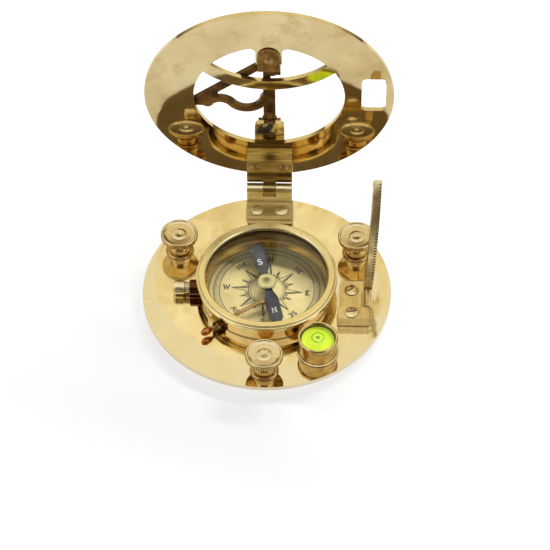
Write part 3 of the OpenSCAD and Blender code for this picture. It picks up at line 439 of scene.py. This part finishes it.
class Marks:
    """Thin flat shapes on a plane: x and y in millimetres from the plane's origin."""

    def __init__(self, origin, right, up):
        self.origin, self.right, self.up = Vector(origin), Vector(right), Vector(up)
        self.out = self.right.cross(self.up)
        self.bm = bmesh.new()

    def point(self, x, y, h=0.0):
        return (self.origin + self.right * x + self.up * y + self.out * (PRINT_LIFT + h)) * MM

    def patch(self, points):
        """A flat plate with the given outline."""
        low = [self.bm.verts.new(self.point(x, y)) for x, y in points]
        high = [self.bm.verts.new(self.point(x, y, PRINT_T)) for x, y in points]
        self.bm.faces.new(low[::-1])
        self.bm.faces.new(high)
        count = len(points)
        for i in range(count):
            j = (i + 1) % count
            self.bm.faces.new((low[i], low[j], high[j], high[i]))

    def line(self, points, width):
        """A bent strip through the points, with mitred corners."""
        points = [Vector(p) for p in points]
        left, right = [], []
        for i, p in enumerate(points):
            before = (p - points[i - 1]).normalized() if i else (points[1] - p).normalized()
            after = (points[i + 1] - p).normalized() if i < len(points) - 1 else before
            way = (before + after).normalized()
            side = Vector((-way.y, way.x)) * (width / 2) / max(MITRE_LEAST, way.dot(after))
            left.append(p + side)
            right.append(p - side)
        for i in range(len(points) - 1):
            self.patch([right[i], right[i + 1], left[i + 1], left[i]])

    def circle(self, radius, width, steps=96):
        """A circular line as short flat plates."""
        inner, outer = radius - width / 2, radius + width / 2
        for i in range(steps):
            a, b = (math.radians(360 * k / steps) for k in (i, i + 1))
            corners = [(r * math.sin(angle), r * math.cos(angle))
                       for angle, r in ((b, inner), (b, outer), (a, outer), (a, inner))]
            self.patch(corners)

    def ray(self, angle, r_from, r_to, width):
        """A radial line; the angle is clockwise from up."""
        self.line([around(angle, r_from), around(angle, r_to)], width)

    def glyph(self, name, centre, height, turn, weight):
        """A letter or number from its strokes; turn is clockwise from upright."""
        c, s = math.cos(math.radians(turn)), math.sin(math.radians(turn))
        width, strokes = GLYPHS[name]
        for stroke in strokes:
            points = []
            for x, y in stroke:
                x, y = (x - width / 2) * height, (y - 0.5) * height
                points.append((centre[0] + x * c + y * s, centre[1] - x * s + y * c))
            self.line(points, weight * height)

    def word(self, text, centre, height, turn, weight):
        """Glyphs in a row, centred."""
        c, s = math.cos(math.radians(turn)), math.sin(math.radians(turn))
        total = sum(GLYPHS[ch][0] for ch in text) + WORD_GAP * (len(text) - 1)
        x = -total / 2
        for ch in text:
            mid = (x + GLYPHS[ch][0] / 2) * height
            self.glyph(ch, (centre[0] + mid * c, centre[1] - mid * s), height, turn, weight)
            x += GLYPHS[ch][0] + WORD_GAP

    def finish(self, name, mat, body):
        bmesh.ops.recalc_face_normals(self.bm, faces=self.bm.faces)
        mesh = bpy.data.meshes.new(name)
        self.bm.to_mesh(mesh)
        self.bm.free()
        obj = bpy.data.objects.new(name, mesh)
        bpy.context.scene.collection.objects.link(obj)
        mesh.materials.append(mat)
        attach(obj, body)


def around(angle, r):
    """The point at distance r from the origin; the angle is clockwise from up."""
    return r * math.sin(math.radians(angle)), r * math.cos(math.radians(angle))


def arc_points(cx, cy, rx, ry, start, end, steps):
    """Points on an ellipse; angles run anticlockwise from +x."""
    angles = [math.radians(start + (end - start) * i / steps) for i in range(steps + 1)]
    return [(cx + rx * math.cos(a), cy + ry * math.sin(a)) for a in angles]


# Strokes of plain serif letters and of numbers, in a box of height 1: (width, strokes)
GLYPHS = {
    "N": (0.8, [[(0.1, 0), (0.1, 1), (0.7, 0), (0.7, 1)], [(-0.05, 0), (0.25, 0)],
                [(-0.05, 1), (0.1, 1)], [(0.55, 1), (0.85, 1)]]),
    "E": (0.7, [[(0.65, 0.2), (0.65, 0.03), (0.15, 0.03), (0.15, 0.97), (0.62, 0.97), (0.62, 0.8)],
                [(0.15, 0.52), (0.5, 0.52)], [(0.0, 0.03), (0.15, 0.03)], [(0.0, 0.97), (0.15, 0.97)]]),
    "S": (0.62, [arc_points(0.31, 0.75, 0.25, 0.23, 20, 270, 10)
                 + arc_points(0.31, 0.26, 0.27, 0.26, 90, -160, 10)[1:]]),
    "W": (1.0, [[(0.0, 1), (0.27, 0.02), (0.5, 0.85), (0.73, 0.02), (1.0, 1)], [(-0.12, 1), (0.12, 1)],
                [(0.88, 1), (1.12, 1)]]),
    "0": (0.56, [arc_points(0.28, 0.5, 0.25, 0.46, 0, 360, 16)]),
    "1": (0.3, [[(0.02, 0.78), (0.18, 0.97), (0.18, 0.03)], [(0.02, 0.03), (0.34, 0.03)]]),
    "2": (0.56, [arc_points(0.28, 0.72, 0.24, 0.24, 160, -30, 8) + [(0.04, 0.04), (0.54, 0.04)]]),
    "3": (0.56, [arc_points(0.27, 0.74, 0.23, 0.22, 150, -90, 8),
                 arc_points(0.27, 0.27, 0.26, 0.25, 90, -150, 8)]),
    "4": (0.6, [[(0.42, 0.0), (0.42, 0.98), (0.03, 0.3), (0.6, 0.3)]]),
    "5": (0.56, [[(0.5, 0.96), (0.12, 0.96), (0.08, 0.55)]
                 + arc_points(0.27, 0.31, 0.26, 0.28, 130, -150, 9)]),
    "6": (0.56, [[(0.44, 0.95), (0.16, 0.62)] + arc_points(0.28, 0.29, 0.25, 0.26, 150, 510, 14)]),
    "7": (0.54, [[(0.03, 0.96), (0.52, 0.96), (0.2, 0.0)]]),
    "8": (0.56, [arc_points(0.28, 0.74, 0.21, 0.22, 0, 360, 12),
                 arc_points(0.28, 0.27, 0.25, 0.25, 0, 360, 12)]),
    "9": (0.56, [arc_points(0.28, 0.7, 0.24, 0.26, 0, 360, 14), [(0.52, 0.7), (0.3, 0.02)]]),
}


# Dial card

CARD_TURN = 4.6         # the card sits a little clockwise in its housing
ROSE_MAIN_R = 14.2      # reach of the rose's rays to N, E, S and W
ROSE_PAIR_R = 13.7      # to NE, SE, SW and NW
ROSE_SHORT_R = 11.2     # and of the short rays between
ROSE_INNER = 7.4        # circle that the rays stand on
ROSE_SPREAD = 10.5      # half angle of a long ray's foot, degrees; a short one has half of it
ROSE_LINE = 0.32        # width of its outlines
ROSE_HATCH = 0.24
ROSE_HATCHES = 2        # lines in the closed half of a ray
FOOT_TICKS = (14, 31)   # degrees after each long ray, at its foot
FOOT_TICK = (ROSE_INNER + 0.4, ROSE_INNER + 1.5, 0.4)       # from, to and width
INNER_CIRCLES = ((ROSE_INNER, 0.3), (ROSE_INNER - 0.8, 0.2))    # radius and width
LETTER_R = 16.4
LETTER_H = 2.3
PAIR_SCALE = 0.86       # pairs of letters are this much smaller
LETTER_WEIGHT = 0.23
CARD_CIRCLES = (19.1, 21.5)
CARD_CIRCLE_LINE = 0.26
CARD_TICK_LINE = 0.12
CARD_TICKS = (1.5, 0.8)         # reach of every fifth tick and of the others
BAND_LOWER = PRINT_T * 0.7      # the band lies this much lower than the print


def rose_ray(marks, angle, tip_r, spread):
    """A pointed ray in outline on the inner circle, its right half closed with hatching."""
    tip = around(angle, tip_r)
    marks.line([around(angle - spread, ROSE_INNER), tip], ROSE_LINE)
    marks.line([around(angle + spread, ROSE_INNER), tip], ROSE_LINE)
    for k in range(1, ROSE_HATCHES + 1):
        foot = around(angle + spread * k / (ROSE_HATCHES + 1), ROSE_INNER)
        marks.line([foot, tip], ROSE_HATCH)


def dial_card_marks():
    """Rose, circles, degrees and letters of the card."""
    marks = Marks((0, 0, CARD_TOP), (1, 0, 0), (0, 1, 0))
    for k in range(8):
        angle = CARD_TURN + 45 * k
        rose_ray(marks, angle, ROSE_PAIR_R if k % 2 else ROSE_MAIN_R, ROSE_SPREAD)
        rose_ray(marks, angle + 22.5, ROSE_SHORT_R, ROSE_SPREAD / 2)
        for step in FOOT_TICKS:
            marks.ray(angle + step, *FOOT_TICK)
    for radius, width in INNER_CIRCLES:
        marks.circle(radius, width)
    for radius in CARD_CIRCLES:
        marks.circle(radius, CARD_CIRCLE_LINE)
    outer = CARD_CIRCLES[1]
    for degree in range(0, 360, 2):
        reach = CARD_TICKS[0] if degree % 10 == 0 else CARD_TICKS[1]
        marks.ray(CARD_TURN + degree, outer, outer - reach, CARD_TICK_LINE)
    for k, word in enumerate(("N", "NE", "E", "SE", "S", "SW", "W", "NW")):
        angle = CARD_TURN + 45 * k
        height = LETTER_H * PAIR_SCALE if k % 2 else LETTER_H
        marks.word(word, around(angle, LETTER_R), height, angle if k % 2 else CARD_TURN,
                   LETTER_WEIGHT)
    marks.finish("card_marks", ink("card_ink", rgb(12, 9, 6)), "base")


def card_band():
    """The scale's band between the two circles, a shade greyer than the card."""
    marks = Marks((0, 0, CARD_TOP - BAND_LOWER), (1, 0, 0), (0, 1, 0))
    inner, outer = CARD_CIRCLES
    marks.circle((inner + outer) / 2, outer - inner, steps=120)
    marks.finish("card_band", ink("band_ink", rgb(190, 176, 132), 0.5), "base")


# Letters on the needle: glyph, place, height, turn and weight
NEEDLE_LETTERS = (("S", (-0.6, 11), 2.8, 0, 0.15), ("N", (0, -15), 2.4, 180, 0.13))


def needle_marks():
    """Letters at the two ends of the needle."""
    turn = math.radians(NEEDLE_TURN)
    up = Vector((-math.sin(turn), math.cos(turn), 0))
    right = Vector((math.cos(turn), math.sin(turn), 0))
    marks = Marks((0, 0, NEEDLE_TOP), right, up)
    for letter in NEEDLE_LETTERS:
        marks.glyph(*letter)
    marks.finish("needle_marks", ink("needle_ink", rgb(226, 226, 220), 0.5), "compass_needle")


LEVEL_RING = (2.4, 0.26)        # radius and width
LEVEL_DOT = (0.45, 0.5)


def level_marks():
    """Circle and dot on the level's glass, which the bubble is brought under."""
    marks = Marks(LEVEL_CENTRE + Vector((0, 0, LEVEL_GLASS_TOP)), (1, 0, 0), (0, 1, 0))
    marks.circle(*LEVEL_RING, steps=48)
    marks.circle(*LEVEL_DOT, steps=16)
    marks.finish("level_ring", ink("level_ink", rgb(104, 128, 20)), "base")


# Hour ring: its own axes

TILT = math.radians(RING_OPEN)
RING_U = Vector((1, 0, 0))
RING_V = Vector((0, -math.cos(TILT), math.sin(TILT)))
RING_W = Vector((0, math.sin(TILT), math.cos(TILT)))
RING_CENTRE = HINGE + RING_V * HINGE.y + RING_W * RING_OFFSET

HOURS = 7               # on each side of noon
NUMBER_R = 34.4
NUMBER_H = 3.6
NUMBER_WEIGHT = 0.13
HOUR_LINE = (38.6, 46.6)        # radii between which the lines run
HALF_LINE = (42.2, 46.6)
QUARTER_LINE = (44.4, 46.6)
HOUR_WIDTH = 0.3
PART_WIDTH = 0.2                # width of the lines between the hours
SLOT_BOX = (35.6, 47.8, -9.2, 12.8)     # kept clear of marks: u from, to, v from, to
BORDER_GAPS = (0.7, 1.4)                # from the ends of the hour lines to the two border circles
BORDER_LINE = 0.22


def on_hour_line(hour, radius):
    """Where the style's shadow crosses a circle about the ring's centre: (u, v); hour 0 is noon."""
    angle = math.atan2(math.sin(math.radians(LATITUDE)) * math.sin(math.radians(15 * hour)),
                       math.cos(math.radians(15 * hour)))
    du, dv = math.sin(angle), -math.cos(angle)
    b = APEX_V * dv
    reach = -b + math.sqrt(b * b + radius * radius - APEX_V * APEX_V)
    return du * reach, APEX_V + dv * reach


def in_slot(u, v):
    return SLOT_BOX[0] < u < SLOT_BOX[1] and SLOT_BOX[2] < v < SLOT_BOX[3]


def hour_ring_marks():
    """Hour lines, numbers and border circles, engraved on the ring's upper face."""
    marks = Marks(RING_CENTRE + RING_W * RING_T, RING_U, -RING_V)
    for quarter in range(-4 * HOURS, 4 * HOURS + 1):
        hour = quarter / 4
        span = HOUR_LINE if quarter % 4 == 0 else HALF_LINE if quarter % 2 == 0 else QUARTER_LINE
        (u0, v0), (u1, v1) = on_hour_line(hour, span[0]), on_hour_line(hour, span[1])
        if in_slot(u0, v0) or in_slot(u1, v1) or in_slot((u0 + u1) / 2, (v0 + v1) / 2):
            continue
        marks.line([(u0, -v0), (u1, -v1)], HOUR_WIDTH if quarter % 4 == 0 else PART_WIDTH)
    for hour in range(-HOURS, HOURS + 1):
        u, v = on_hour_line(hour, NUMBER_R)
        turn = math.degrees(math.atan2(u, -v))
        marks.word(str((hour + 11) % 12 + 1), (u, -v), NUMBER_H, turn, NUMBER_WEIGHT)
    for gap in BORDER_GAPS:
        marks.circle(HOUR_LINE[1] + gap, BORDER_LINE, steps=144)
    marks.finish("hour_ring_marks", ink("engraving", rgb(46, 34, 18)), "dial")


ARC_LINE_R = ARC_R - 0.9        # where the arc's graduation starts
ARC_NUMBER_R = ARC_R - 5.6
ARC_NUMBER_H = 1.7
ARC_NUMBER_WEIGHT = 0.14
ARC_DEGREES = 50                # end of the graduation
ARC_TICKS = ((10, 3.0), (5, 2.2), (1, 1.2))     # each step of degrees and the reach of its ticks
ARC_TICK_LINE = 0.16


def on_arc(side, degree, radius):
    """A point on the arc's face, at an angle above the level of the hinge pin, its centre.

    side is 1 for the face that looks outward and -1 for the other.
    """
    a = math.radians(degree)
    return side * (HINGE.y - radius * math.cos(a)), HINGE.z - ARC_PIN.z + radius * math.sin(a)


def latitude_marks():
    """Graduation and numbers of the latitude arc, on both faces."""
    lean = math.radians(ARC_LEAN)
    up = Vector((math.sin(lean), 0, math.cos(lean)))
    out = Vector((math.cos(lean), 0, -math.sin(lean)))
    for side, name in ((1, "arc_marks_outer"), (-1, "arc_marks_inner")):
        marks = Marks(ARC_PIN + out * side * (ARC_T / 2), Vector((0, side, 0)), up)
        for degree in range(2, ARC_DEGREES + 1):
            reach = max(reach for step, reach in ARC_TICKS if degree % step == 0)
            marks.line([on_arc(side, degree, r) for r in (ARC_LINE_R, ARC_LINE_R - reach)],
                       ARC_TICK_LINE)
        for degree in range(10, ARC_DEGREES + 1, 10):
            marks.word(str(degree), on_arc(side, degree, ARC_NUMBER_R), ARC_NUMBER_H,
                       -side * (90 - degree), ARC_NUMBER_WEIGHT)
        marks.finish(name, ink(name + "_ink", rgb(54, 42, 24)), "arc")


# Stage, light and camera

FLOOR_SIZE = 6          # metres
FLOOR_TONES = ((0.86, 0.855, 0.845, 1), (0.88, 0.875, 0.865, 1))
FLOOR_GLOW = (1, 0.99, 0.985, 1)
FLOOR_SHOWN = 0.7       # share of the floor's own paleness in what the camera sees near the compass
FLOOR_NEAR = (0.2, 0.8)     # metres over which that share grows to all of it
FLOOR_MIRRORED = 0.8    # the same in what the brass mirrors of it
FLOOR_PALE = 1.1        # that paleness, for the camera
FLOOR_DIM = 0.84        # and in the brass
SKY_LEVEL = 0.17        # even light on matt surfaces
ROOM_FRONT = (1.20, 1.33, 1.58, 1)      # cool window light that the brass mirrors from the front
ROOM_BACK = (0.87, 0.82, 0.62, 1)       # warmer wall behind
FIGURE = 0.11           # brightness of the dark camera stand in front
FIGURE_TINT = (1.45, 1.18, 0.82, 1)     # its warm brown
FIGURE_TOP = (0.73, 0.80)               # sines of the heights where it ends, from core to edge
FIGURE_SIDE = (0.42, 0.68)              # its half width, likewise
FIGURE_BACK = (-0.25, -0.05)            # it fades out towards the sides of the room
ROOM_HEIGHTS = (-0.2, 0.8)              # sines of the heights that the stops below span
ROOM_STOPS = ((0.0, (0.10, 0.08, 0.06)), (0.22, (0.22, 0.19, 0.15)), (0.42, (0.55, 0.51, 0.45)),
              (0.62, (0.96, 0.94, 0.91)), (1.0, (1.0, 0.99, 0.97)))

LAMP_AIM = Vector((0, 0.01, 0.02))      # metres
KEY_LAMP = {"place": (0.22, 0.74, 0.65), "size": (1.2, 0.07), "power": 24.0,
            "colour": (1, 0.98, 0.93)}


def stage():
    """Pale paper that the compass stands on."""
    bpy.ops.mesh.primitive_plane_add(size=FLOOR_SIZE, location=(0, 0, FLOOR_Z * MM))
    floor = bpy.context.object
    floor.name = "floor"
    s = Shader("floor_paper")
    s.set(Base_Color=s.mix(s.noise(60, 3), *FLOOR_TONES), Roughness=0.9, Specular_IOR_Level=0.1)
    path = s.add("ShaderNodeLightPath")
    seen = path.outputs["Is Camera Ray"]
    shown = s.add("ShaderNodeEmission")
    shown.inputs["Color"].default_value = FLOOR_GLOW
    s.link(s.span(seen, 0, 1, FLOOR_DIM, FLOOR_PALE), shown.inputs["Strength"])
    blend = s.add("ShaderNodeMixShader")
    away = s.add("ShaderNodeVectorMath", operation="LENGTH")
    s.link(s.coord.outputs["Object"], away.inputs[0])
    pale = s.span(away.outputs["Value"], *FLOOR_NEAR, FLOOR_SHOWN, 1)
    share = s.math("ADD", s.math("MULTIPLY", seen, pale),
                   s.math("MULTIPLY", path.outputs["Is Glossy Ray"], FLOOR_MIRRORED))
    s.link(share, blend.inputs[0])
    s.link(s.bsdf.outputs[0], blend.inputs[1])
    s.link(shown.outputs[0], blend.inputs[2])
    s.link(blend.outputs[0], s.out.inputs["Surface"])
    floor.data.materials.append(s.mat)


class Sky:
    """The world's node tree, with the helpers of a shader."""

    def __init__(self):
        world = bpy.data.worlds.new("studio")
        bpy.context.scene.world = world
        world.use_nodes = True
        self.tree = world.node_tree
        self.tree.nodes.clear()
        self.out = self.add("ShaderNodeOutputWorld")

    add = Shader.add
    link = Shader.link
    put = Shader.put
    math = Shader.math
    dot = Shader.dot
    span = Shader.span
    mix = Shader.mix

    def background(self, colour, strength):
        node = self.add("ShaderNodeBackground")
        self.put(colour, node.inputs["Color"])
        self.put(strength, node.inputs["Strength"])
        return node.outputs[0]

    def choose(self, factor, a, b):
        node = self.add("ShaderNodeMixShader")
        self.link(factor, node.inputs[0])
        self.link(a, node.inputs[1])
        self.link(b, node.inputs[2])
        return node.outputs[0]


def world():
    """Pale room that the brass mirrors: bright overhead, dim near the horizon and at the camera."""
    sky = Sky()
    way = sky.add("ShaderNodeTexCoord").outputs["Generated"]
    ramp = sky.add("ShaderNodeValToRGB")
    height = sky.dot(way, (0, 0, 1))
    sky.link(sky.span(height, *ROOM_HEIGHTS), ramp.inputs["Fac"])
    elements = ramp.color_ramp.elements
    while len(elements) < len(ROOM_STOPS):
        elements.new(0.5)
    for element, (place, colour) in zip(elements, ROOM_STOPS):
        element.position = place
        element.color = (*colour, 1)
    along = sky.dot(way, (0, 1, 0))
    tint = sky.mix(sky.span(along, -0.5, 0.5), ROOM_FRONT, ROOM_BACK)
    figure = sky.math("MULTIPLY", sky.span(height, *FIGURE_TOP, 1, 0),
                      sky.span(sky.math("ABSOLUTE", sky.dot(way, (1, 0, 0))), *FIGURE_SIDE, 1, 0))
    figure = sky.math("MULTIPLY", figure, sky.span(along, *FIGURE_BACK, 1, 0))
    tint = sky.mix(figure, tint, FIGURE_TINT)
    seen = sky.background(sky.mix(1.0, ramp.outputs["Color"], tint, "MULTIPLY"),
                          sky.span(figure, 0, 1, 1, FIGURE))
    even = sky.background((1, 0.99, 0.97, 1), SKY_LEVEL)
    white = sky.background((1, 1, 1, 1), 1.0)
    path = sky.add("ShaderNodeLightPath")
    shiny = sky.math("MAXIMUM", path.outputs["Is Glossy Ray"], path.outputs["Is Transmission Ray"])
    direct = sky.math("LESS_THAN", path.outputs["Diffuse Depth"], 0.5)
    lit = sky.choose(sky.math("MULTIPLY", shiny, direct), even, seen)
    sky.link(sky.choose(path.outputs["Is Camera Ray"], lit, white), sky.out.inputs["Surface"])


def lamp(name, place, size, power, colour):
    """A soft light aimed at the compass, in metres and watts. The brass doesn't mirror it."""
    data = bpy.data.lights.new(name, "AREA")
    data.shape = "RECTANGLE"
    data.size, data.size_y = size
    data.energy = power
    data.color = colour
    obj = bpy.data.objects.new(name, data)
    bpy.context.scene.collection.objects.link(obj)
    obj.location = place
    obj.rotation_euler = (LAMP_AIM - Vector(place)).to_track_quat("-Z", "Y").to_euler()
    obj.visible_glossy = False
    obj.visible_camera = False


def camera():
    """The view of the photograph."""
    az, el = math.radians(CAM_AZIMUTH), math.radians(CAM_ELEVATION)
    back = Vector((math.sin(az) * math.cos(el), -math.cos(az) * math.cos(el), math.sin(el)))
    right = Vector((math.cos(az), math.sin(az), 0))
    turn = Matrix((right, back.cross(right), back)).transposed()
    roll = Matrix.Rotation(math.radians(CAM_ROLL), 3, "Z")
    data = bpy.data.cameras.new("camera")
    data.lens = CAM_LENS
    data.sensor_width = CAM_SENSOR
    data.clip_start, data.clip_end = CAM_CLIP
    obj = bpy.data.objects.new("camera", data)
    bpy.context.scene.collection.objects.link(obj)
    place = (CAM_TARGET + back * CAM_DISTANCE) * MM
    obj.matrix_world = Matrix.Translation(place) @ (turn @ roll).to_4x4()
    bpy.context.scene.camera = obj


def dress():
    """Gives every CAD node its material."""
    paint(plate_brass(), "base_plate")
    paint(ring_brass(), "hour_ring")
    paint(drum_brass(), "compass_housing", "card_retainer")
    paint(cup_brass(), "level_cup")
    paint(knob_brass(), "level_screw_front", "level_screw_right", "level_screw_left")
    paint(clamp_brass(), "clamp_knob", "lifter_guide", "lifter_spring")
    paint(cap_brass(), "needle_cap", "needle_post")
    paint(bush_brass(), "bush_front", "bush_right", "bush_left")
    paint(bezel_brass(), "bezel_ring")
    paint(hinge_brass(), "hinge_leaf", "hinge_spacer_front", "hinge_spacer_rear", "hinge_pin")
    paint(foot_brass(), "hinge_foot", "hinge_foot_screws")
    paint(bracket_brass(), "arc_bracket", "arc_packing", "arc_screws", "arc_pin", "housing_screws")
    paint(old_brass(), "gnomon", "gnomon_bracket_low", "bracket_screw")
    paint(dull_brass(), "gnomon_bracket_top", "bracket_rivet", "hinge_rivets", "lifter_lever")
    paint(copper_brass(), "lifter_button")
    paint(maroon_brass(), "clamp_boss")
    paint(steel(), "gnomon_pins", "lifter_pin")
    paint(arc_brass(), "latitude_arc")
    paint(card_paint(), "dial_card")
    paint(blued_steel(), "needle")
    paint(clear_glass(), "cover_glass", "level_glass")
    paint(level_fluid(), "level_liquid")
    paint(bubble_skin(), "level_bubble")


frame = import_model()

dress()
card_band()
dial_card_marks()
needle_marks()
level_marks()
hour_ring_marks()
latitude_marks()
stage()
world()
lamp("key", **KEY_LAMP)
camera()

scene = bpy.context.scene
scene.view_settings.view_transform = "Standard"
